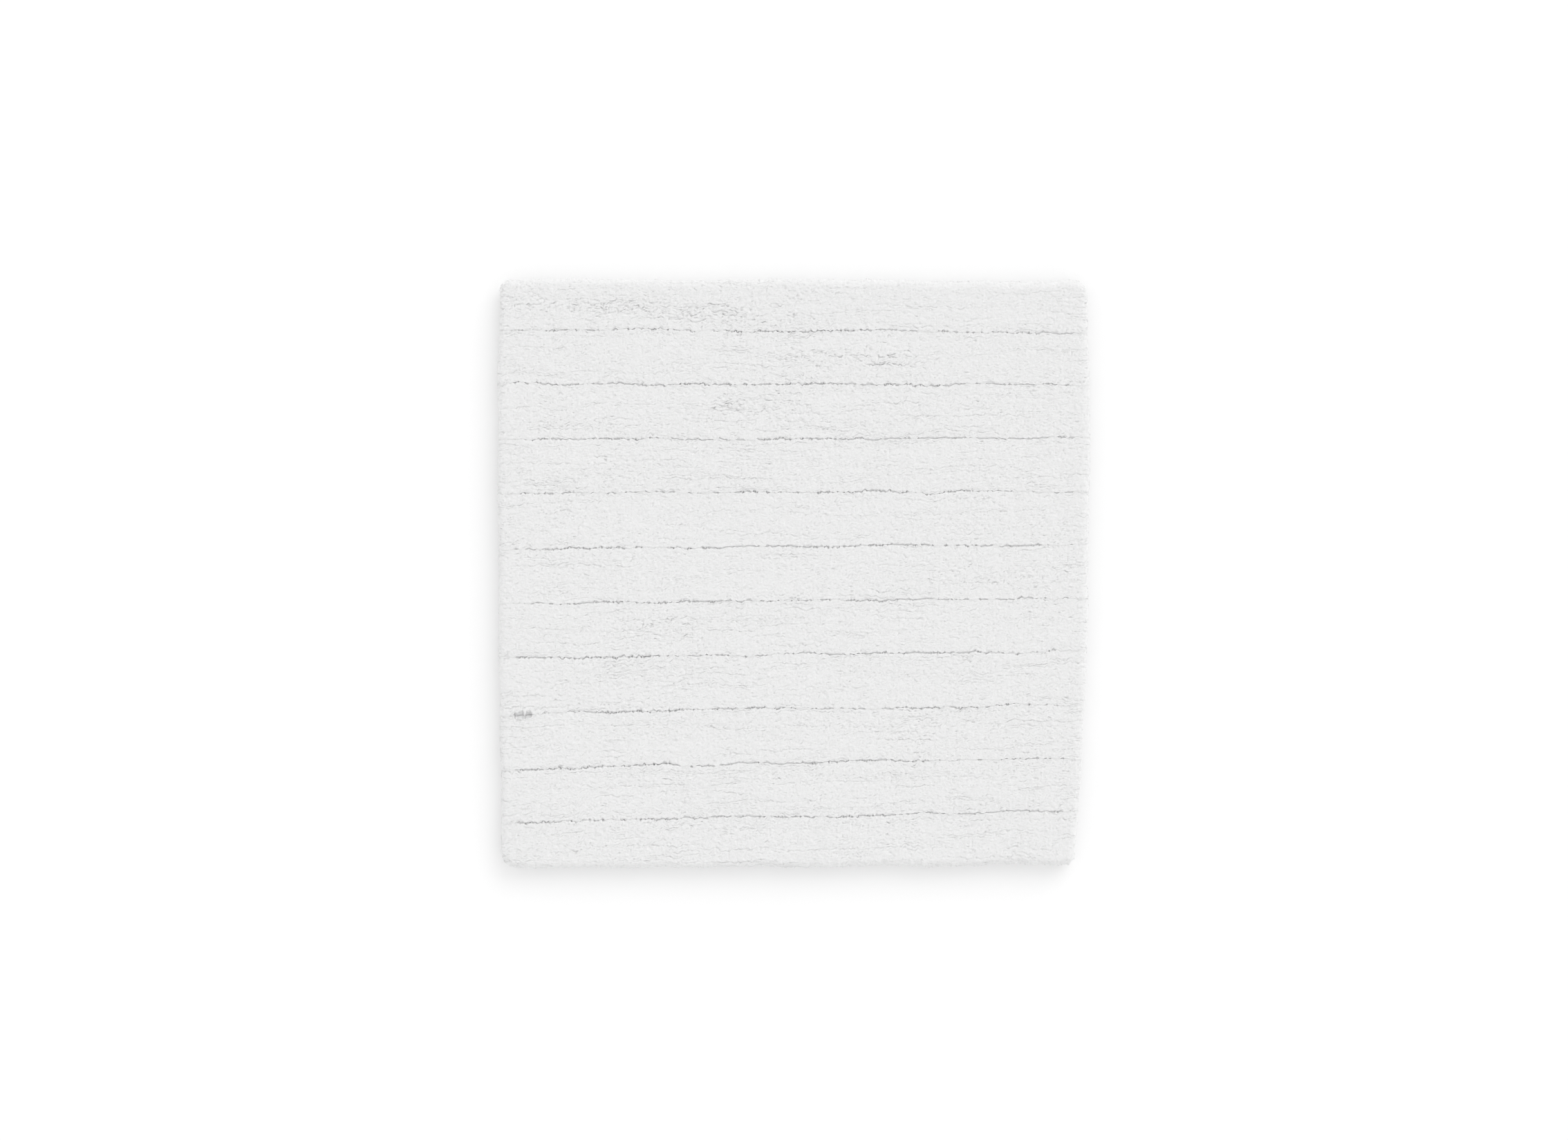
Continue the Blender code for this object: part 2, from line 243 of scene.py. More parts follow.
# Layers of random unevenness. Each has the size of its waves along X and along Y (or 1 where it is
# drawn anew for each groove, tuft row or crease), its height and its own seed.
ROW_WANDER = (
    (46 * MM, 1, 1.5 * MM, 1),
    (11 * MM, 1, 0.6 * MM, 2),
    (4.2 * MM, 1, 0.65 * MM, 4),
    (2.2 * MM, 1, 0.5 * MM, 5),
)
GROOVE_OPENNESS = ((15 * MM, 1, 0.25, 21), (5.5 * MM, 1, 0.5, 22), (2.2 * MM, 1, 0.5, 24))
GROOVE_TEETH = ((1.5 * MM, 1, 0.55, 23), (4 * MM, 1, 0.2, 25))
CREASE_WANDER = ((14 * MM, 1, 0.9 * MM, 68), (2.6 * MM, 1, 0.5 * MM, 69))
CREASE_DEPTHS = ((9 * MM, 1, 0.7, 70), (2 * MM, 1, 0.45, 78))
ROW_WAVES = ((24 * MM, 11 * MM, 0.9, 51), (6 * MM, 4 * MM, 0.4, 52))
CREVICE_DEPTHS = ((14 * MM, 1, 0.7, 54), (5 * MM, 1, 0.5, 55), (1.9 * MM, 1, 0.7, 61))
SHALLOW_CREASES = ((60 * MM, 1, 1.3, 62), (5 * MM, 1, 0.4, 63), (2 * MM, 1, 0.4, 67))
FELT = (
    (55 * MM, 35 * MM, 0.35 * MM, 41),
    (8 * MM, 6 * MM, 0.1 * MM, 42),
    (1.9 * MM, 3.0 * MM, 0.18 * MM, 64),
    (1.15 * MM, 1.0 * MM, 0.28 * MM, 60),
)

SEED = 11

# The scale at which a wave texture makes two waves in each unit.
TWO_WAVES_A_UNIT = 0.628


# ---------------------------------------------------------------- random fields and the cloth's lie


def field(x, y, cell_x, cell_y, seed):
    """Smooth random values from -1 to 1, with one random number for each cell of the plane."""
    size = 512
    table = np.random.default_rng(SEED * 1000 + seed).uniform(-1, 1, (size, size))
    across = np.asarray(x) / cell_x + size / 2
    along = np.asarray(y) / cell_y + size / 2
    column = np.floor(across).astype(int)
    row = np.floor(along).astype(int)
    right = across - column
    up = along - row
    right = right * right * (3 - 2 * right)
    up = up * up * (3 - 2 * up)
    low = table[column % size, row % size] * (1 - right)
    low = low + table[(column + 1) % size, row % size] * right
    high = table[column % size, (row + 1) % size] * (1 - right)
    high = high + table[(column + 1) % size, (row + 1) % size] * right
    return low * (1 - up) + high * up


def layered(x, y, layers):
    """Several random fields added up."""
    return sum(height * field(x, y, cell_x, cell_y, seed) for cell_x, cell_y, height, seed in layers)


def relaxed(x, y):
    """Where the relaxed cloth holds a point of the exactly square mat."""
    u = x / HALF_WIDTH
    v = y / HALF_DEPTH
    left = ((1 - u) / 2) ** 2
    right = ((1 + u) / 2) ** 2
    drawn_in = (v - WIDEST_LINE) ** 2
    held = 1 - EDGE_HOLD * v**12
    left_drift = LEFT_DRIFT[0] + LEFT_DRIFT[1] * v
    right_drift = RIGHT_DRIFT[0] + RIGHT_DRIFT[1] * v
    return (
        x + (left * LEFT_DRAW_IN - right * RIGHT_DRAW_IN) * drawn_in,
        y + (left * left_drift + right * right_drift) * held,
    )


def middle_of_lie():
    """The middle of the relaxed outline's box, which the frame has as its origin."""
    side = np.linspace(-1, 1, 201)
    straight = 1 - CORNER_RADIUS / HALF_WIDTH
    front = relaxed(side * HALF_WIDTH * straight, -HALF_DEPTH + 0 * side)[1].min()
    back = relaxed(side * HALF_WIDTH * straight, HALF_DEPTH + 0 * side)[1].max()
    return (front + back) / 2


LIE_MIDDLE = middle_of_lie()


def cloth_lie(x, y):
    """A point of the square ground cloth in the frame."""
    to_x, to_y = relaxed(x, y)
    return to_x, to_y - LIE_MIDDLE


def groove_place(y):
    """How many grooves lie behind a point: whole numbers are the grooves' own lines."""
    return (HALF_DEPTH + EDGE_BAND_TRIM - y) / BAND_PITCH


def rounded_corner(x, y):
    """Draws the square mat's corners in to a rounded outline."""
    left = np.where(y > 0, BACK_CORNERS[0], FRONT_CORNERS[0])
    right = np.where(y > 0, BACK_CORNERS[1], FRONT_CORNERS[1])
    radius = np.where(x > 0, right, left)
    u = np.clip((np.abs(x) - HALF_WIDTH) / radius + 1, 0, None)
    v = np.clip((np.abs(y) - HALF_DEPTH) / radius + 1, 0, None)
    drawn = 1 - (u**4 + v**4) ** 0.25 / np.maximum(np.hypot(u, v), 1e-9)
    drawn = np.where((u > 0) & (v > 0), drawn, 0)
    return x - np.sign(x) * u * drawn * radius, y - np.sign(y) * v * drawn * radius


def laid(x, y):
    """A point of the square mat in the frame: the tuft rows wander a little, and the cloth relaxes."""
    x, y = rounded_corner(x, y)
    rows = groove_place(y)
    uneven_end = 1.1 * MM * field(x, y, 60 * MM, 40 * MM, 3) * (np.abs(x) / HALF_WIDTH) ** 6
    return cloth_lie(x + uneven_end, y + layered(x, rows, ROW_WANDER))


# ---------------------------------------------------------------- materials


def linear(hex_colour):
    """An sRGB hex colour as the linear numbers that a shader takes."""
    found = []
    for start in (1, 3, 5):
        value = int(hex_colour[start : start + 2], 16) / 255
        found.append(value / 12.92 if value <= 0.04045 else ((value + 0.055) / 1.055) ** 2.4)
    return (*found, 1.0)


def add(tree, kind, settings=None, inputs=None):
    """Adds a node, sets its properties, and sets or links its inputs."""
    node = tree.nodes.new(kind)
    for name, value in (settings or {}).items():
        setattr(node, name, value)
    for name, value in (inputs or {}).items():
        if isinstance(value, bpy.types.NodeSocket):
            tree.links.new(value, node.inputs[name])
        else:
            node.inputs[name].default_value = value
    return node


def new_material(name, roughness, sheen=0.0, ior=1.5):
    """A non-metallic material with its shader, ready for its colour and bump."""
    made = bpy.data.materials.new(name)
    made.use_nodes = True
    shader = made.node_tree.nodes["Principled BSDF"]
    shader.inputs["Roughness"].default_value = roughness
    shader.inputs["Metallic"].default_value = 0.0
    shader.inputs["IOR"].default_value = ior
    shader.inputs["Sheen Weight"].default_value = sheen
    shader.inputs["Sheen Roughness"].default_value = 0.5
    shader.inputs["Subsurface Radius"].default_value = (1, 1, 1)
    shader.inputs["Subsurface Scale"].default_value = 2 * MM
    return made, made.node_tree, shader


def place_of(tree, scale):
    """The point's place in the object, stretched so that one unit is 1 / scale metres."""
    place = add(tree, "ShaderNodeTexCoord").outputs["Object"]
    return add(tree, "ShaderNodeMapping", None, {"Vector": place, "Scale": scale}).outputs[0]


def cloudiness(tree, sizes, detail):
    """Random values from 0 to 1. The sizes are those of the grain along X, Y and Z."""
    place = place_of(tree, [1 / size for size in sizes])
    noise = add(tree, "ShaderNodeTexNoise", None, {"Vector": place, "Scale": 1.0, "Detail": detail})
    return noise.outputs["Fac"]


def mixed_colour(tree, factor, low, high, blend_type="MIX"):
    """The low colour, turning to the high one, or multiplied by it, as the factor goes from 0 to 1."""
    settings = {"data_type": "RGBA", "blend_type": blend_type}
    mix = add(tree, "ShaderNodeMix", settings, {"Factor": factor, "A": low, "B": high})
    return mix.outputs["Result"]


def fine_relief(tree, height, strength, distance, under=None):
    """The shading of a relief too fine for the mesh, over a finer one if there is one."""
    inputs = {"Strength": strength, "Distance": distance, "Height": height}
    if under:
        inputs["Normal"] = under
    return add(tree, "ShaderNodeBump", None, inputs).outputs["Normal"]


def computed(tree, operation, *values):
    """The result of a calculation on shader values."""
    return add(tree, "ShaderNodeMath", {"operation": operation}, dict(enumerate(values))).outputs[0]


def dress(tree, shader, colour, normal):
    """Links a material's colour and fine relief to its shader."""
    tree.links.new(colour, shader.inputs["Base Color"])
    tree.links.new(normal, shader.inputs["Normal"])


def bleached_cut_pile():
    """Bleached cotton yarn, cut and steamed open: matt, and soft where light spreads in its fibres."""
    made, tree, shader = new_material("bleached_cut_pile", 0.95, sheen=0.8, ior=1.53)
    shader.inputs["Subsurface Weight"].default_value = 0.4
    fibres = cloudiness(tree, (0.5 * MM, 1.6 * MM, 1.6 * MM), 3.0)
    clumps = cloudiness(tree, (9 * MM, 6 * MM, 9 * MM), 2.0)
    fibre_colour = mixed_colour(tree, fibres, linear("#DFDFDF"), linear("#EEEEEE"))
    colour = mixed_colour(tree, clumps, fibre_colour, linear("#F8F8F8"), "MULTIPLY")
    dress(tree, shader, colour, fine_relief(tree, fibres, 0.8, 0.5 * MM))
    return made


def herringbone_threads(tree, flat, pitch):
    """The height of twill ribs that zigzag across the tape."""
    place = add(tree, "ShaderNodeSeparateXYZ", None, {"Vector": flat})
    zigzag = computed(tree, "PINGPONG", place.outputs["Y"], TAPE_WIDTH / 4)
    steps = computed(tree, "ADD", place.outputs["X"], zigzag)
    return computed(tree, "SINE", computed(tree, "MULTIPLY", steps, 2 * math.pi / pitch))


def plain_threads(tree, flat, pitch):
    """The height of threads that pass over and under each other in turn."""
    stretch = (0.5 / pitch, 0.5 / pitch, 1)
    scaled = add(tree, "ShaderNodeMapping", None, {"Vector": flat, "Scale": stretch}).outputs[0]
    over = add(tree, "ShaderNodeTexChecker", None, {"Vector": scaled, "Scale": 2.0})
    ends = {"Factor": over.outputs["Fac"]}
    for end, direction in (("A", "X"), ("B", "Y")):
        rounds = {"Vector": scaled, "Scale": TWO_WAVES_A_UNIT}
        waves = add(tree, "ShaderNodeTexWave", {"bands_direction": direction}, rounds)
        ends[end] = waves.outputs["Fac"]
    return add(tree, "ShaderNodeMix", None, ends).outputs["Result"]


def cotton_weave(name, dull, bright, threads, pitch):
    """Woven cotton: its threads' rounds show under a glancing light, with fine fibre fuzz on them."""
    made, tree, shader = new_material(name, 0.9, sheen=0.2, ior=1.53)
    flat = add(tree, "ShaderNodeUVMap", {"uv_map": "cloth_place"}).outputs["UV"]
    fibres = cloudiness(tree, (0.4 * MM,) * 3, 2.0)
    fuzz = fine_relief(tree, fibres, 0.3, 0.15 * MM)
    colour = mixed_colour(tree, fibres, linear(dull), linear(bright))
    dress(tree, shader, colour, fine_relief(tree, threads(tree, flat, pitch), 0.8, 0.25 * MM, fuzz))
    return made


def twisted_sewing_thread():
    """Spun cotton thread: its tight twist gives fine slanting ridges with a faint gleam."""
    made, tree, shader = new_material("twisted_sewing_thread", 0.55, sheen=0.3, ior=1.53)
    rounds = {"Vector": place_of(tree, (1 / (1.4 * MM),) * 3), "Scale": 1.0, "Distortion": 1.0}
    twist = add(tree, "ShaderNodeTexWave", {"bands_direction": "DIAGONAL"}, rounds).outputs["Fac"]
    colour = mixed_colour(tree, twist, linear("#E2DFD6"), linear("#F0EDE5"))
    dress(tree, shader, colour, fine_relief(tree, twist, 0.6, 0.08 * MM))
    return made


def cured_latex_coat():
    """Sprayed latex, cured: slightly satin, with fine pinholes and a cloudy off-white tone."""
    made, tree, shader = new_material("cured_latex_coat", 0.6, ior=1.52)
    cloud = cloudiness(tree, (25 * MM,) * 3, 4.0)
    grain = cloudiness(tree, (0.9 * MM,) * 3, 3.0)
    satin = add(tree, "ShaderNodeMapRange", None, {"Value": grain, "To Min": 0.5, "To Max": 0.72})
    tree.links.new(satin.outputs["Result"], shader.inputs["Roughness"])
    colour = mixed_colour(tree, cloud, linear("#D3CDBB"), linear("#E1DDCF"))
    dress(tree, shader, colour, fine_relief(tree, grain, 0.5, 0.15 * MM))
    return made


def frosted_light_table():
    """Pale frosted acrylic, evenly lit from below: it glows, so shadows on it stay faint."""
    made, tree, shader = new_material("frosted_light_table", 0.9)
    shader.inputs["Emission Color"].default_value = (1, 1, 1, 1)
    shader.inputs["Emission Strength"].default_value = 0.22
    mottle = cloudiness(tree, (0.25,) * 3, 1.0)
    colour = mixed_colour(tree, mottle, linear("#DADADA"), linear("#DBDBDB"))
    tree.links.new(colour, shader.inputs["Base Color"])
    return made


# ---------------------------------------------------------------- meshes


def mesh_object(name, points, face_sizes, corners, material, cloth_places=None):
    """A smooth-shaded mesh object from arrays: points, each face's corner count and the corners.

    cloth_places are the points' places on the flat cloth, in metres, for the weave's threads.
    """
    mesh = bpy.data.meshes.new(name)
    mesh.vertices.add(len(points))
    mesh.vertices.foreach_set("co", np.asarray(points, np.float32).ravel())
    mesh.loops.add(len(corners))
    mesh.loops.foreach_set("vertex_index", np.asarray(corners, np.int32))
    mesh.polygons.add(len(face_sizes))
    starts = np.concatenate(([0], np.cumsum(face_sizes)[:-1]))
    mesh.polygons.foreach_set("loop_start", starts.astype(np.int32))
    mesh.update(calc_edges=True)
    mesh.shade_smooth()
    mesh.materials.append(material)
    if cloth_places is not None:
        flat = mesh.uv_layers.new(name="cloth_place")
        flat.data.foreach_set("uv", np.asarray(cloth_places, np.float32)[corners].ravel())
    made = bpy.data.objects.new(name, mesh)
    bpy.context.scene.collection.objects.link(made)
    return made


def in_frame(made, node):
    """Puts a piece in its node's place, riding on the mat."""
    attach(made, "root")
    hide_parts(node)


def side_line(side, share):
    """How far out and how far down a side's surface is, share of the way from crown to root."""
    bend = np.clip(share / side["turn"], 0, 1) * math.pi / 2
    flank = np.clip((share - side["turn"]) / (1 - side["turn"]), 0, 1)
    height = PILE_BOX[1].z - PILE_BOX[0].z
    out = side["reach"] * np.sin(bend) - side["draw"] * flank**2
    down = side["drop"] * (1 - np.cos(bend)) + (height - side["drop"]) * flank
    return out, down


class Band:
    """One pile band of the square mat: its crown rectangle and the sides that hang from it."""

    def __init__(self, number):
        top = HALF_DEPTH + EDGE_BAND_TRIM
        self.number = number
        self.is_first = number == 1
        self.is_last = number == BAND_COUNT
        self.front_side = OUTLINE_SIDE if self.is_last else GROOVE_SIDE
        self.back_side = OUTLINE_SIDE if self.is_first else GROOVE_SIDE
        self.front = max(top - number * BAND_PITCH, -HALF_DEPTH)
        self.back = min(top - (number - 1) * BAND_PITCH, HALF_DEPTH)
        self.crown_x = HALF_WIDTH - OUTLINE_SIDE["reach"] - OUTLINE_INSET
        self.crown_front = self.front + self.front_side["reach"] + OUTLINE_INSET * self.is_last
        self.crown_back = self.back - self.back_side["reach"] - OUTLINE_INSET * self.is_first

    def surface(self, p, q):
        """The body's surface at p along and q across the unrolled band."""
        share_x = np.clip((np.abs(p) - self.crown_x) / OUTLINE_SIDE["length"], 0, 1)
        share_front = np.clip((self.crown_front - q) / self.front_side["length"], 0, 1)
        share_back = np.clip((q - self.crown_back) / self.back_side["length"], 0, 1)
        share_y = np.maximum(share_front, share_back)
        share = np.maximum(share_x, share_y)
        length = np.maximum(np.hypot(share_x, share_y), 1e-9)
        part_x = share_x / length
        part_y = share_y / length
        out_x, down_x = side_line(OUTLINE_SIDE, share)
        out_front, down_front = side_line(self.front_side, share)
        out_back, down_back = side_line(self.back_side, share)
        at_front = share_front > 0
        x = np.clip(p, -self.crown_x, self.crown_x) + np.sign(p) * part_x * out_x
        y = np.clip(q, self.crown_front, self.crown_back)
        y = y + part_y * np.where(at_front, -out_front, out_back)
        down_y = np.where(at_front, down_front, down_back)
        z = PILE_BOX[1].z - part_x**2 * down_x - part_y**2 * down_y
        return np.stack([x, y, z], -1)

    def normal(self, p, q):
        """The outward direction of the surface, from its slopes."""
        step = 0.2 * MM
        along = self.surface(p + step, q) - self.surface(p - step, q)
        across = self.surface(p, q + step) - self.surface(p, q - step)
        found = np.cross(along, across)
        return found / np.maximum(np.linalg.norm(found, axis=-1, keepdims=True), 1e-12)


def bump_of(distance):
    """A smooth hump: 1 at nothing, falling to 0 at one."""
    return np.clip(1 - distance**2, 0, 1) ** 2


def near_end(x):
    """1 over the mat, falling to 0 at the grooves' ends, which the pile closes."""
    return np.clip((HALF_WIDTH - END_CLOSED - np.abs(x)) / END_OPENS, 0, 1)


def parted(x, groove):
    """How open the pile is over a groove: 0 where yarn ends cross and close it, 1 where it's clear."""
    open_here = np.full(np.shape(x), CLOSED_OPENNESS)
    for number, stretches in OPEN_STRETCHES.items():
        for start, end in stretches:
            edge = np.minimum(x / MM - start, end - x / MM) / STRETCH_FADE + 0.5
            open_here += np.where(groove == number, STRETCH_OPENNESS * np.clip(edge, 0, 1), 0)
    openness = open_here + layered(x, groove, GROOVE_OPENNESS)
    return np.clip(1.4 * openness - 0.1, 0, 1) * near_end(x)


def opening(x, groove, side, depth):
    """How far one side of a groove stands back from the groove's line, at a depth below the crown.

    Its wall is steep and ragged, and closes at the bottom. Where the pile closes over the groove,
    and at the groove's ends, the side laps past the line instead. All in mm until the last line.
    """
    clear = parted(x, groove)
    teeth = layered(x, 2 * groove + side, GROOVE_TEETH)
    found = 1.4 * clear - 0.28 + teeth * (0.3 + 0.9 * clear)
    above_bottom = np.clip((OPEN_DEPTH - depth) / OPEN_CLOSES, 0, 1)
    found = np.where(found > 0, found * above_bottom, found)
    lapped = END_LAP * (1 - near_end(x)) * np.clip(1.5 - depth / END_LAP_DEPTH, 0, 1)
    found = np.clip(found, -GROOVE_LAP, 2) * near_end(x) - lapped
    shallow = np.clip((SPREAD_DEPTH - depth) / SPREAD_CLOSES, 0, 1)
    for number, middle, half, extra in SPREADS:
        away = (x / MM - middle) / half
        spread = (extra + teeth) * np.clip(4 * bump_of(away), 0, 1)
        found = found + shallow * np.where((groove == number) & (np.abs(away) < 1), spread, 0)
    return found * MM


def roughness_of_pile(x, y):
    """How roughed the pile is: 0 for lying smooth, 1 for well roughed."""
    found = 0.16 + 0.22 * field(x, y, 60 * MM, 24 * MM, 31)
    for middle_x, middle_y, half_x, half_y, strength in ROUGHED:
        away = np.hypot((x / MM - middle_x) / half_x / 1.3, (y / MM - middle_y) / half_y / 1.5)
        found = found + 0.7 * strength * bump_of(np.minimum(away, 1))
    return np.clip(found, 0, 1.2)


def long_creases(x, y):
    """Depth of the long creases, which wander and fade like the tuft rows they follow."""
    found = 0 * x
    for start, end, line, strength in LONG_CREASES:
        away = y - line * MM - layered(x, line, CREASE_WANDER)
        fades = np.clip(np.minimum(x / MM - start, end - x / MM) / CREASE_FADE, 0, 1)
        depth = np.clip(0.45 + layered(x, line, CREASE_DEPTHS), 0, 1) * fades
        found = found + CREVICE_DEPTH * strength * depth * np.exp(-((away / CREVICE_WIDTH) ** 2))
    return found


def tuft_rows(x, y, rough):
    """How many tuft rows lie before a point. The rows wave, and more so where the pile is roughed."""
    rows = y / ROW_PITCH + layered(x, y, ROW_WAVES)
    return rows + (0.34 + 0.2 * rough) * field(x, y, 2.3 * MM, 2.2 * MM, 53)


def crevices(x, rows, rough):
    """Depth of the crevices between tuft rows."""
    parting = np.round(rows)
    away = np.abs(rows - parting) * ROW_PITCH
    depth = np.clip(layered(x, parting, CREVICE_DEPTHS) - 0.95 + 1.15 * rough, 0, 1.1)
    crease = 0.55 * np.clip(layered(x, parting, SHALLOW_CREASES) - 0.42, 0, 1)
    return CREVICE_DEPTH * np.maximum(depth, crease) * np.exp(-((away / CREVICE_WIDTH) ** 2))


def yarn_end_domes(x, y, rows):
    """How far the surface falls away from the nearest yarn end."""
    ends = x / YARN_PITCH + 0.35 * field(x, y, 7 * MM, 3 * MM, 56)
    nearest = np.full(np.shape(x), 9.0)
    for step_i in (-1, 0, 1):
        for step_j in (-1, 0, 1):
            cell_i = np.floor(ends) + step_i
            cell_j = np.floor(rows) + step_j
            at_i = cell_i + 0.5 + 0.42 * field(cell_i, cell_j, 1, 1, 57)
            at_j = cell_j + 0.5 + 0.35 * field(cell_i, cell_j, 1, 1, 58)
            nearest = np.minimum(nearest, (ends - at_i) ** 2 + 0.75 * (rows - at_j) ** 2)
    return END_DOME * nearest


def pits(x, y, rough):
    """Depth of the small pits between yarn ends."""
    return PIT_DEPTH * np.clip(field(x, y, 1.6 * MM, 1.1 * MM, 59) - 0.6 + 0.16 * rough, 0, 1)


def curls(x, y, rough):
    """Depth of the short bent creases that run any way between groups of yarn ends."""
    line = np.exp(-((field(x, y, 5 * MM, 3.6 * MM, 65) / CURL_WIDTH) ** 2))
    return CURL_DEPTH * line * np.clip(field(x, y, 4.2 * MM, 3.4 * MM, 66) - 0.3 + 0.7 * rough, 0, 1)


def relief(x, y):
    """Height of the felted yarn ends over the pile's even surface."""
    rough = roughness_of_pile(x, y)
    rows = tuft_rows(x, y, rough)
    sunk = crevices(x, rows, rough) + long_creases(x, y) + yarn_end_domes(x, y, rows)
    return layered(x, y, FELT) - sunk - pits(x, y, rough) - curls(x, y, rough)


def lean(x, y, z):
    """How far the pile's sides stand back from the grooves, along Y."""
    rows = groove_place(y)
    nearest = np.round(rows)
    inner = (nearest >= 1) & (nearest <= BAND_COUNT - 1)
    from_groove = (nearest - rows) * BAND_PITCH
    side = np.sign(from_groove)
    depth = PILE_BOX[1].z - z
    back = opening(x, nearest, side, depth)
    return side * back * np.exp(-np.abs(from_groove) / LEAN_REACH) * inner


def healed(x, rows, depth, down_front, down_back):
    """How much the shoulders at a groove are filled up again, where the yarn ends close over it."""
    closed = 1 - parted(x, np.round(rows))
    at_groove = np.clip(2 * np.maximum(down_front, down_back), 0, 1)
    return 0.9 * depth * closed * at_groove * np.exp(-((depth / FILLED_DEPTH) ** 2))


def laid_points(points):
    """Points of the square mat, moved in plan to where they lie."""
    x, y = laid(points[..., 0], points[..., 1])
    return np.stack([x, y, points[..., 2]], -1)


def spaced(start, end, near, far):
    """Places down a side from the crown: closely set over the shoulder, wider down the flank."""
    shoulder = np.arange(start, start + far["turn"] * far["length"], near)[1:]
    flank = shoulder[-1] + (end - shoulder[-1]) * FLANK_SHARES
    return np.concatenate([shoulder, flank])


def band_body(band):
    """The band's felted surface, closed at its roots: points, face sizes and corners."""
    reach_x = band.crown_x + OUTLINE_SIDE["length"]
    crown_p = np.linspace(-band.crown_x, band.crown_x, int(2 * band.crown_x / GRID_X))
    end_p = spaced(band.crown_x, reach_x, GRID_X, OUTLINE_SIDE)
    p = np.concatenate([-end_p[::-1], crown_p, end_p])
    front, back = band.crown_front, band.crown_back
    crown_q = np.linspace(front, back, int((back - front) / GRID_Y))
    front_q = -spaced(-front, -front + band.front_side["length"], GRID_Y, band.front_side)
    back_q = spaced(back, back + band.back_side["length"], GRID_Y, band.back_side)
    q = np.concatenate([front_q[::-1], crown_q, back_q])
    grid_p, grid_q = np.meshgrid(p, q, indexing="ij")
    points = band.surface(grid_p, grid_q)
    height = (points[..., 2] - PILE_BOX[0].z) / (PILE_BOX[1].z - PILE_BOX[0].z)
    down_front = 0 if band.is_last else np.clip((front - grid_q) / SHOULDER_FADE, 0, 1)
    down_back = 0 if band.is_first else np.clip((grid_q - back) / SHOULDER_FADE, 0, 1)
    past_x = np.clip((np.abs(grid_p) - band.crown_x) / CORNER_FADE, 0, 1)
    past_y = np.clip(np.maximum(front - grid_q, grid_q - back) / CORNER_FADE, 0, 1)
    shown = height * (1 - down_front) * (1 - down_back) * (1 - np.minimum(past_x, past_y))
    points = points + band.normal(grid_p, grid_q) * (relief(grid_p, grid_q) * shown)[..., None]
    points[..., 1] += lean(points[..., 0], points[..., 1], points[..., 2])
    past_outline = (grid_q < front) & band.is_last | (grid_q > back) & band.is_first
    level_q = np.where(past_outline, grid_q, np.clip(grid_q, front, back))
    depth = np.clip(band.surface(grid_p, level_q)[..., 2] - points[..., 2], 0, 1)
    points[..., 2] += healed(points[..., 0], groove_place(grid_q), depth, down_front, down_back)
    points = laid_points(points).reshape(-1, 3)
    index = np.arange(len(p) * len(q)).reshape(len(p), len(q))
    quads = np.stack([index[:-1, :-1], index[1:, :-1], index[1:, 1:], index[:-1, 1:]], -1)
    quads = quads.reshape(-1, 4)
    rim = np.concatenate([index[:-1, 0], index[-1, :-1], index[:0:-1, -1], index[0, :0:-1]])
    sizes = [4] * len(quads) + [len(rim)]
    return points, sizes, np.concatenate([quads.ravel(), rim[::-1]])


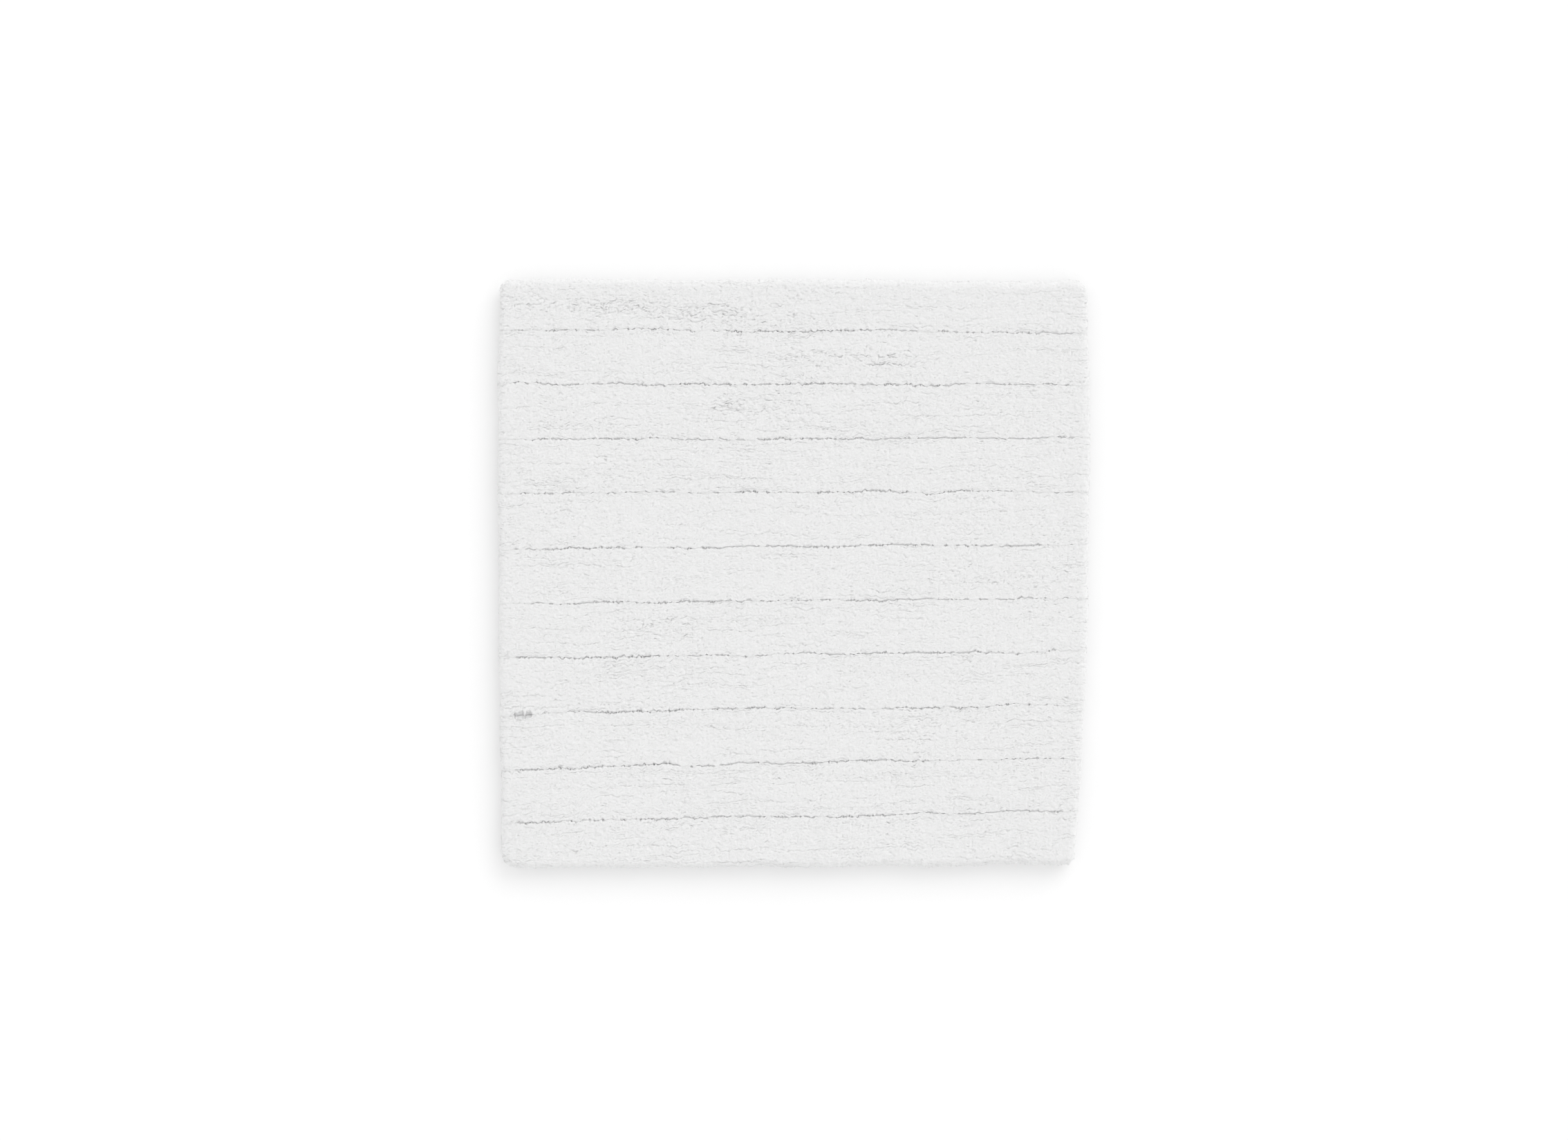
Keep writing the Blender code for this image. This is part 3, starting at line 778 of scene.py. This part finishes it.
def side_yarns(band, rng):
    """The yarns that fan over the band's outer sides: points, face sizes and corners."""
    length = OUTLINE_SIDE["length"]
    lines = []
    for row, share in enumerate(np.linspace(*YARN_SEATS, YARN_ROWS)):
        shift = (row % 2) / 2 * YARN_SPACING
        out = share * length
        past_front = CORNER_SHARE * out if band.is_last else band.front_side["reach"]
        past_back = CORNER_SHARE * out if band.is_first else band.back_side["reach"]
        across = np.arange(band.crown_front - past_front, band.crown_back + past_back, YARN_SPACING)
        across = across + shift
        for sign in (-1, 1):
            lines.append(np.stack([0 * across + sign * (band.crown_x + out), across], -1))
        reach_x = band.crown_x + CORNER_SHARE * out
        along = np.arange(-reach_x, reach_x, YARN_SPACING) + shift
        if band.is_first:
            lines.append(np.stack([along, 0 * along + band.crown_back + out], -1))
        if band.is_last:
            lines.append(np.stack([along, 0 * along + band.crown_front - out], -1))
    seat = np.concatenate(lines)
    seat = seat + rng.normal(0, YARN_SCATTER, seat.shape) * YARN_SPACING
    crown = np.clip(seat, (-band.crown_x, band.crown_front), (band.crown_x, band.crown_back))
    inward = crown - seat
    inward /= np.linalg.norm(inward, axis=1, keepdims=True)
    inward += rng.normal(0, YARN_FAN, inward.shape)
    reach = YARN_REACH * (1 + rng.normal(0, YARN_LENGTH_VARIES, len(seat)))
    rings = []
    turn = np.arange(YARN_SIDES) * 2 * math.pi / YARN_SIDES
    for along, stand, thick in YARN_RINGS:
        place = seat + inward * (along * reach)[:, None]
        normal = band.normal(place[:, 0], place[:, 1])
        spine = band.surface(place[:, 0], place[:, 1]) + normal * YARN_STAND * stand
        rise = band.surface(*(place + inward * MM).T) - band.surface(*(place - inward * MM).T)
        rise /= np.maximum(np.linalg.norm(rise, axis=1, keepdims=True), 1e-9)
        beside = np.cross(rise, normal)
        radius = YARN_RADIUS * thick * (1 + rng.normal(0, YARN_RADIUS_VARIES, (len(seat), 1, 1)))
        sideways = np.cos(turn)[None, :, None] * beside[:, None]
        outward = np.sin(turn)[None, :, None] * normal[:, None]
        rings.append(spine[:, None] + (sideways + outward) * radius)
    points = np.stack(rings, 1)
    points[..., 2] = np.maximum(points[..., 2], PILE_BOX[0].z - 0.5 * MM)
    points[..., 1] += lean(points[..., 0], points[..., 1], points[..., 2])
    points = laid_points(points)
    count = len(rings)
    index = np.arange(count * YARN_SIDES).reshape(count, YARN_SIDES)
    after = np.roll(index, -1, 1)
    quads = np.stack([index[:-1], index[1:], after[1:], after[:-1]], -1).reshape(-1)
    one = np.concatenate([quads, index[0], index[-1][::-1]])
    sizes = [4] * (len(quads) // 4) + [YARN_SIDES] * 2
    all_corners = (np.arange(len(seat))[:, None] * index.size + one).ravel()
    return points.reshape(-1, 3), sizes * len(seat), all_corners


def pile_band(number, material):
    """One band of cut pile: its felted surface and the yarns that hang over its outer sides."""
    band = Band(number)
    felt, felt_sizes, felt_corners = band_body(band)
    yarns, yarn_sizes, yarn_corners = side_yarns(band, np.random.default_rng(SEED + number))
    made = mesh_object(
        f"cut_pile_{number:02d}",
        np.concatenate([felt, yarns]),
        felt_sizes + yarn_sizes,
        np.concatenate([felt_corners, yarn_corners + len(felt)]),
        material,
    )
    in_frame(made, f"pile_band_{number:02d}")


# ---------------------------------------------------------------- ground cloth, hem and backing


def joined_rings(middle, normals, thickness, closed):
    """A sheet of even thickness round a grid of points: its points, face sizes and corners.

    middle runs over rows and along each row. closed rows join up with themselves.
    """
    rows, count = middle.shape[:2]
    index = np.arange(rows * count).reshape(rows, count)
    if closed:
        index = np.concatenate([index, index[:, :1]], 1)
    skin = np.stack([index[:-1, :-1], index[:-1, 1:], index[1:, 1:], index[1:, :-1]], -1)
    skin = skin.reshape(-1, 4)
    under = skin[:, ::-1] + rows * count
    edges = [index[0], index[-1][::-1]]
    if not closed:
        edges = [np.concatenate([index[0], index[1:, -1], index[-1, -2::-1], index[-2::-1, 0]])]
    faces = [skin, under]
    for edge in edges:
        far = edge + rows * count
        faces.append(np.stack([edge[1:], edge[:-1], far[:-1], far[1:]], -1))
    offset = normals * thickness / 2
    points = np.concatenate([(middle + offset).reshape(-1, 3), (middle - offset).reshape(-1, 3)])
    quads = np.concatenate(faces)
    return points, [4] * len(quads), quads.ravel()


def grid_normals(points, closed):
    """Unit normals of a grid of points, to the left of its rows."""
    down = np.gradient(points, axis=0)
    if closed:
        along = (np.roll(points, -1, 1) - np.roll(points, 1, 1)) / 2
    else:
        along = np.gradient(points, axis=1)
    found = np.cross(along, down)
    return found / np.maximum(np.linalg.norm(found, axis=-1, keepdims=True), 1e-12)


def cloth_outline(inset, steps):
    """The square cloth's rounded outline, anticlockwise, drawn in by inset."""
    radius = max(CLOTH_RADIUS - inset, 0.5 * MM)
    centre_x = CLOTH_HALF_WIDTH - inset - radius
    centre_y = CLOTH_HALF_DEPTH - inset - radius
    found = []
    turns = ((1, 1), (-1, 1), (-1, -1), (1, -1))
    for k, (side_x, side_y) in enumerate(turns):
        angles = math.pi / 2 * (k + np.linspace(0, 1, 9))
        arc_x = side_x * centre_x + radius * np.cos(angles)
        arc_y = side_y * centre_y + radius * np.sin(angles)
        next_x, next_y = turns[(k + 1) % 4]
        after = math.pi / 2 * (k + 1)
        end_x = next_x * centre_x + radius * math.cos(after)
        end_y = next_y * centre_y + radius * math.sin(after)
        share = np.arange(1, steps) / steps
        line_x = arc_x[-1] + (end_x - arc_x[-1]) * share
        line_y = arc_y[-1] + (end_y - arc_y[-1]) * share
        found.append(np.stack([arc_x, arc_y], -1))
        found.append(np.stack([line_x, line_y], -1))
    return np.concatenate(found)


def base_cloth(material):
    """The ground cloth: it lies flat under the pile, folds round its edge and runs back as the hem."""
    top = CLOTH_BOX[1].z - CLOTH_THICKNESS / 2
    turn = CLOTH_BOX[0].z + CLOTH_THICKNESS / 2
    fold = (top - turn) / 2
    edge = fold + CLOTH_THICKNESS / 2
    middle_insets = np.linspace(CLOTH_HALF_DEPTH - 5 * MM, 30 * MM, 34)
    hem_insets = np.linspace(27 * MM, edge, 12)
    stations = [(inset, top, inset) for inset in (*middle_insets, *hem_insets)]
    for angle in np.linspace(math.pi / 2, -math.pi / 2, 9)[1:]:
        reach = edge - fold * math.cos(angle)
        unrolled = edge - fold * (math.pi / 2 - angle)
        stations.append((reach, (top + turn) / 2 + fold * math.sin(angle), unrolled))
    turn_start = stations[-1][2]
    for back in np.linspace(edge, HEM_TURN_WIDTH, 9)[1:]:
        stations.append((back, turn, turn_start - (back - edge)))
    rows = []
    places = []
    for inset, height, unrolled in stations:
        line = cloth_outline(inset, 90)
        outward = line / np.maximum(np.linalg.norm(line, axis=1, keepdims=True), 1e-9)
        near_edge = np.exp(-max(inset - edge, 0) / (6 * MM))
        pucker = HEM_PUCKER * field(line[:, 0], line[:, 1], 7 * MM, 7 * MM, 71) * near_edge
        x, y = cloth_lie(*(line + outward * pucker[:, None]).T)
        ripple = CLOTH_RIPPLE * field(x, y, 22 * MM, 15 * MM, 72)
        rows.append(np.stack([x, y, height + ripple], -1))
        places.append(line + outward * (inset - unrolled))
    middle = np.stack(rows)
    points, sizes, corners = joined_rings(middle, grid_normals(middle, True), CLOTH_THICKNESS, True)
    flat_places = np.concatenate([np.concatenate(places)] * 2)
    made = mesh_object("ground_cloth", points, sizes, corners, material, flat_places)
    in_frame(made, "base_cloth")


def hem_tape(side, material):
    """A length of woven tape under one hem, mitred at both ends and dimpled by its stitches."""
    along_x = side in ("front", "back")
    sign = 1 if side in ("back", "right") else -1
    half_run = CLOTH_HALF_WIDTH if along_x else CLOTH_HALF_DEPTH
    half_across = CLOTH_HALF_DEPTH if along_x else CLOTH_HALF_WIDTH
    low = TAPE_BOX[0].z
    thickness = TAPE_BOX[1].z - low
    inset = np.linspace(TAPE_EDGE_INSET, TAPE_INNER_INSET, 25)
    run_end = half_run - inset - CLEARANCE / math.sqrt(2)
    share = np.linspace(-1, 1, int(2 * half_run / (1.75 * MM)))
    run = share[:, None] * run_end[None, :]
    across = sign * (half_across - inset)[None, :] + 0 * run
    x, y = cloth_lie(run, across) if along_x else cloth_lie(across, run)
    edge = np.minimum(inset - TAPE_EDGE_INSET, TAPE_INNER_INSET - inset)
    rounded = np.clip(1 - edge / (1.2 * MM), 0, 1) ** 2
    half_thick = thickness / 2 * (1 - 0.55 * rounded)[None, :] + 0 * run
    stitched = np.zeros(run.shape)
    for row in STITCH_INSETS.values():
        near = np.exp(-(((inset - row) / (0.9 * MM)) ** 2))[None, :]
        stitched = stitched + near * (0.55 + 0.45 * np.cos(2 * math.pi * run / STITCH_LENGTH))
    rise = STITCH_DIMPLE * stitched + TAPE_RIPPLE * (1 + field(x, y, 9 * MM, 9 * MM, 73))
    middle = np.stack([x, y, low + thickness / 2 + 0 * x], -1)
    upper = middle + np.stack([0 * x, 0 * x, half_thick], -1)
    lower = middle - np.stack([0 * x, 0 * x, half_thick], -1)
    lower[..., 2] = np.minimum(lower[..., 2] + rise, middle[..., 2])
    centre = (upper + lower) / 2
    up = (upper - lower) / 2 if along_x == (sign > 0) else (lower - upper) / 2
    points, sizes, corners = joined_rings(centre, up * 2, 1, False)
    flat_places = np.concatenate([np.stack([run, inset[None, :] + 0 * run], -1).reshape(-1, 2)] * 2)
    made = mesh_object(f"hem_tape_{side}_twill", points, sizes, corners, material, flat_places)
    in_frame(made, f"hem_tape_{side}")


def hem_stitches(name, material):
    """One row of lockstitches round the hem, each a short thread that dives into the tape."""
    inset = STITCH_INSETS[name]
    half_x = CLOTH_HALF_WIDTH - inset
    half_y = CLOTH_HALF_DEPTH - inset
    radius = (THREAD_BOX[1].z - THREAD_BOX[0].z) / 2
    starts = []
    for (from_x, from_y), (to_x, to_y) in (
        ((-half_x, -half_y), (half_x, -half_y)),
        ((half_x, -half_y), (half_x, half_y)),
        ((half_x, half_y), (-half_x, half_y)),
        ((-half_x, half_y), (-half_x, -half_y)),
    ):
        length = math.hypot(to_x - from_x, to_y - from_y)
        direction = np.array([(to_x - from_x) / length, (to_y - from_y) / length])
        for k in range(int(length / STITCH_LENGTH)):
            middle = np.array([from_x, from_y]) + direction * (k + 0.5) * STITCH_LENGTH
            starts.append((middle, direction))
    along = np.linspace(-1, 1, 7)
    lift = STITCH_DIVE * np.abs(along) ** 4
    sides = np.arange(6) * math.pi / 3
    points = []
    for middle, direction in starts:
        spine = middle + direction * (along[:, None] * STITCH_REACH / 2)
        x, y = cloth_lie(spine[:, 0], spine[:, 1])
        across = np.array([-direction[1], direction[0]])
        thin = radius * np.clip(1.2 - np.abs(along) ** 6, 0.3, 1)
        ring_x = x[:, None] + across[0] * np.cos(sides) * thin[:, None]
        ring_y = y[:, None] + across[1] * np.cos(sides) * thin[:, None]
        ring_z = THREAD_BOX[0].z + radius + lift[:, None] + np.sin(sides) * thin[:, None]
        points.append(np.stack([ring_x, ring_y, ring_z], -1).reshape(-1, 3))
    rings, count = len(along), len(sides)
    index = np.arange(rings * count).reshape(rings, count)
    after = np.roll(index, -1, 1)
    quads = np.stack([index[:-1], after[:-1], after[1:], index[1:]], -1).reshape(-1)
    one = np.concatenate([quads, index[0][::-1], index[-1]])
    all_corners = (np.arange(len(starts))[:, None] * rings * count + one).ravel()
    sizes = ([4] * (len(quads) // 4) + [count, count]) * len(starts)
    made = mesh_object(f"lockstitches_{name}", np.concatenate(points), sizes, all_corners, material)
    in_frame(made, f"hem_stitch_{name}")


def latex_backing(material):
    """The anti-slip coat inside the hem: ribbed by the back stitches, with a recess for the label."""
    low, high = BACKING_BOX[0].z, BACKING_BOX[1].z
    half_x = CLOTH_HALF_WIDTH - TAPE_INNER_INSET - CLEARANCE
    half_y = CLOTH_HALF_DEPTH - TAPE_INNER_INSET - CLEARANCE
    x = np.linspace(-half_x, half_x, 56)
    y = np.linspace(-half_y, half_y, int(2 * half_y / (BACK_ROW_PITCH / 4)))
    recess_x = LABEL_BOX[1].x + CLEARANCE
    recess_y = [LABEL_BOX[0].y - CLEARANCE + LIE_MIDDLE, LABEL_BOX[1].y + CLEARANCE + LIE_MIDDLE]
    steps_x = [recess_x, recess_x + RECESS_LIP]
    steps_y = [recess_y[0] - RECESS_LIP, recess_y[0], recess_y[1], recess_y[1] + RECESS_LIP]
    x = np.sort(np.concatenate([x, steps_x]))
    y = np.sort(np.concatenate([y, steps_y]))
    grid_x, grid_y = np.meshgrid(x, y, indexing="ij")
    to_x, to_y = cloth_lie(grid_x, grid_y)
    rows = grid_y / BACK_ROW_PITCH + 0.25 * field(grid_x, grid_y, 40 * MM, 40 * MM, 74)
    between = 0.5 + 0.5 * np.cos(2 * math.pi * rows)
    hollow = BACK_ROW_RELIEF * between * (0.7 + 0.3 * field(grid_x, grid_y, 6 * MM, 2 * MM, 75))
    hollow = hollow + 0.1 * MM * (1 + field(grid_x, grid_y, 60 * MM, 60 * MM, 76))
    in_recess = (grid_y > recess_y[0] - RECESS_LIP / 2) & (grid_y < recess_y[1] + RECESS_LIP / 2)
    in_recess = in_recess & (grid_x <= recess_x + RECESS_LIP / 2)
    hollow = np.where(in_recess, LABEL_BOX[1].z + CLEARANCE - low, hollow)
    under = np.stack([to_x, to_y, low + hollow], -1)
    upper = np.stack([to_x, to_y, high + 0 * to_x], -1)
    points, sizes, corners = joined_rings((upper + under) / 2, under - upper, 1, False)
    made = mesh_object("latex_coat", points, sizes, corners, material)
    in_frame(made, "latex_backing")


def care_label(material):
    """A blank cotton label, folded once, with its ends caught at the tape's inner edge."""
    start, end = LABEL_BOX[0].x, LABEL_BOX[1].x
    low, high = LABEL_BOX[0].z, LABEL_BOX[1].z
    middle_z = (low + high) / 2
    fold = (high - low - LABEL_LAYER) / 2
    profile = []
    for x in np.linspace(start, end - fold - LABEL_LAYER / 2, 24):
        profile.append((x, middle_z - fold))
    centre = profile[-1][0]
    for angle in np.linspace(-math.pi / 2, math.pi / 2, 9)[1:-1]:
        profile.append((centre + fold * math.cos(angle), middle_z + fold * math.sin(angle)))
    for x in np.linspace(centre, start, 24):
        profile.append((x, middle_z + fold))
    profile = np.array(profile)
    y = np.linspace(LABEL_BOX[0].y, LABEL_BOX[1].y, 17)
    grid = np.stack(
        [
            np.repeat(profile[:, :1], len(y), 1),
            np.repeat(y[None, :], len(profile), 0),
            np.repeat(profile[:, 1:], len(y), 1),
        ],
        -1,
    )
    grid[..., 2] += 0.03 * MM * field(grid[..., 0], grid[..., 1], 5 * MM, 4 * MM, 77)
    points, sizes, corners = joined_rings(grid, grid_normals(grid, False), LABEL_LAYER, False)
    run = np.concatenate([[0], np.cumsum(np.hypot(*np.diff(profile, axis=0).T))])
    flat_places = np.stack([run[:, None] + 0 * y[None, :], 0 * run[:, None] + y[None, :]], -1)
    flat_places = np.concatenate([flat_places.reshape(-1, 2)] * 2)
    made = mesh_object("folded_label", points, sizes, corners, material, flat_places)
    in_frame(made, "care_label")


# ---------------------------------------------------------------- floor, light and camera

ROOM_LIGHT = 0.985
LAMP_LIGHT = 0.82
LAMP_SPREAD = 50
LAMP_TURN = (-41, 35, 0)

# The camera's place, and the width that it sees at the height of the pile.
CAMERA_PLACE = (-9.9 * MM, 4.0 * MM, 5.0)
VIEW_WIDTH = 1.583


def floor():
    """A plain pale floor that the mat lies on."""
    bpy.ops.mesh.primitive_plane_add(size=12, location=(0, 0, FLOOR_HEIGHT))
    made = bpy.context.object
    made.name = "floor"
    made.data.materials.append(frosted_light_table())


def lights():
    """An even white room and one broad soft light from the back right."""
    world = bpy.data.worlds.new("white room")
    world.use_nodes = True
    background = world.node_tree.nodes["Background"]
    background.inputs["Color"].default_value = (1, 1, 1, 1)
    background.inputs["Strength"].default_value = ROOM_LIGHT
    bpy.context.scene.world = world
    lamp = bpy.data.lights.new("broad light", "SUN")
    lamp.energy = LAMP_LIGHT
    lamp.angle = math.radians(LAMP_SPREAD)
    made = bpy.data.objects.new("broad light", lamp)
    bpy.context.scene.collection.objects.link(made)
    made.rotation_euler = [math.radians(turn) for turn in LAMP_TURN]


def camera():
    """Looks straight down, from far enough that the mat shows no perspective."""
    data = bpy.data.cameras.new("camera")
    data.sensor_width = 36
    data.lens = data.sensor_width * (CAMERA_PLACE[2] - PILE_BOX[1].z) / VIEW_WIDTH
    made = bpy.data.objects.new("camera", data)
    bpy.context.scene.collection.objects.link(made)
    made.location = CAMERA_PLACE
    bpy.context.scene.camera = made
    bpy.context.scene.view_settings.view_transform = "Standard"


pile_cotton = bleached_cut_pile()
for band_number in range(1, BAND_COUNT + 1):
    pile_band(band_number, pile_cotton)
base_cloth(cotton_weave("plain_woven_cotton", "#D6D6D4", "#E6E6E4", plain_threads, CLOTH_THREAD))
tape_cotton = cotton_weave(
    "herringbone_cotton_tape", "#DEDDD8", "#EDECE8", herringbone_threads, TWILL_PITCH
)
for tape_side in ("front", "back", "left", "right"):
    hem_tape(tape_side, tape_cotton)
sewing_thread = twisted_sewing_thread()
for stitch_row in STITCH_INSETS:
    hem_stitches(stitch_row, sewing_thread)
latex_backing(cured_latex_coat())
care_label(cotton_weave("fine_woven_label", "#EAE9E5", "#F4F3F0", plain_threads, LABEL_THREAD))
floor()
lights()
camera()
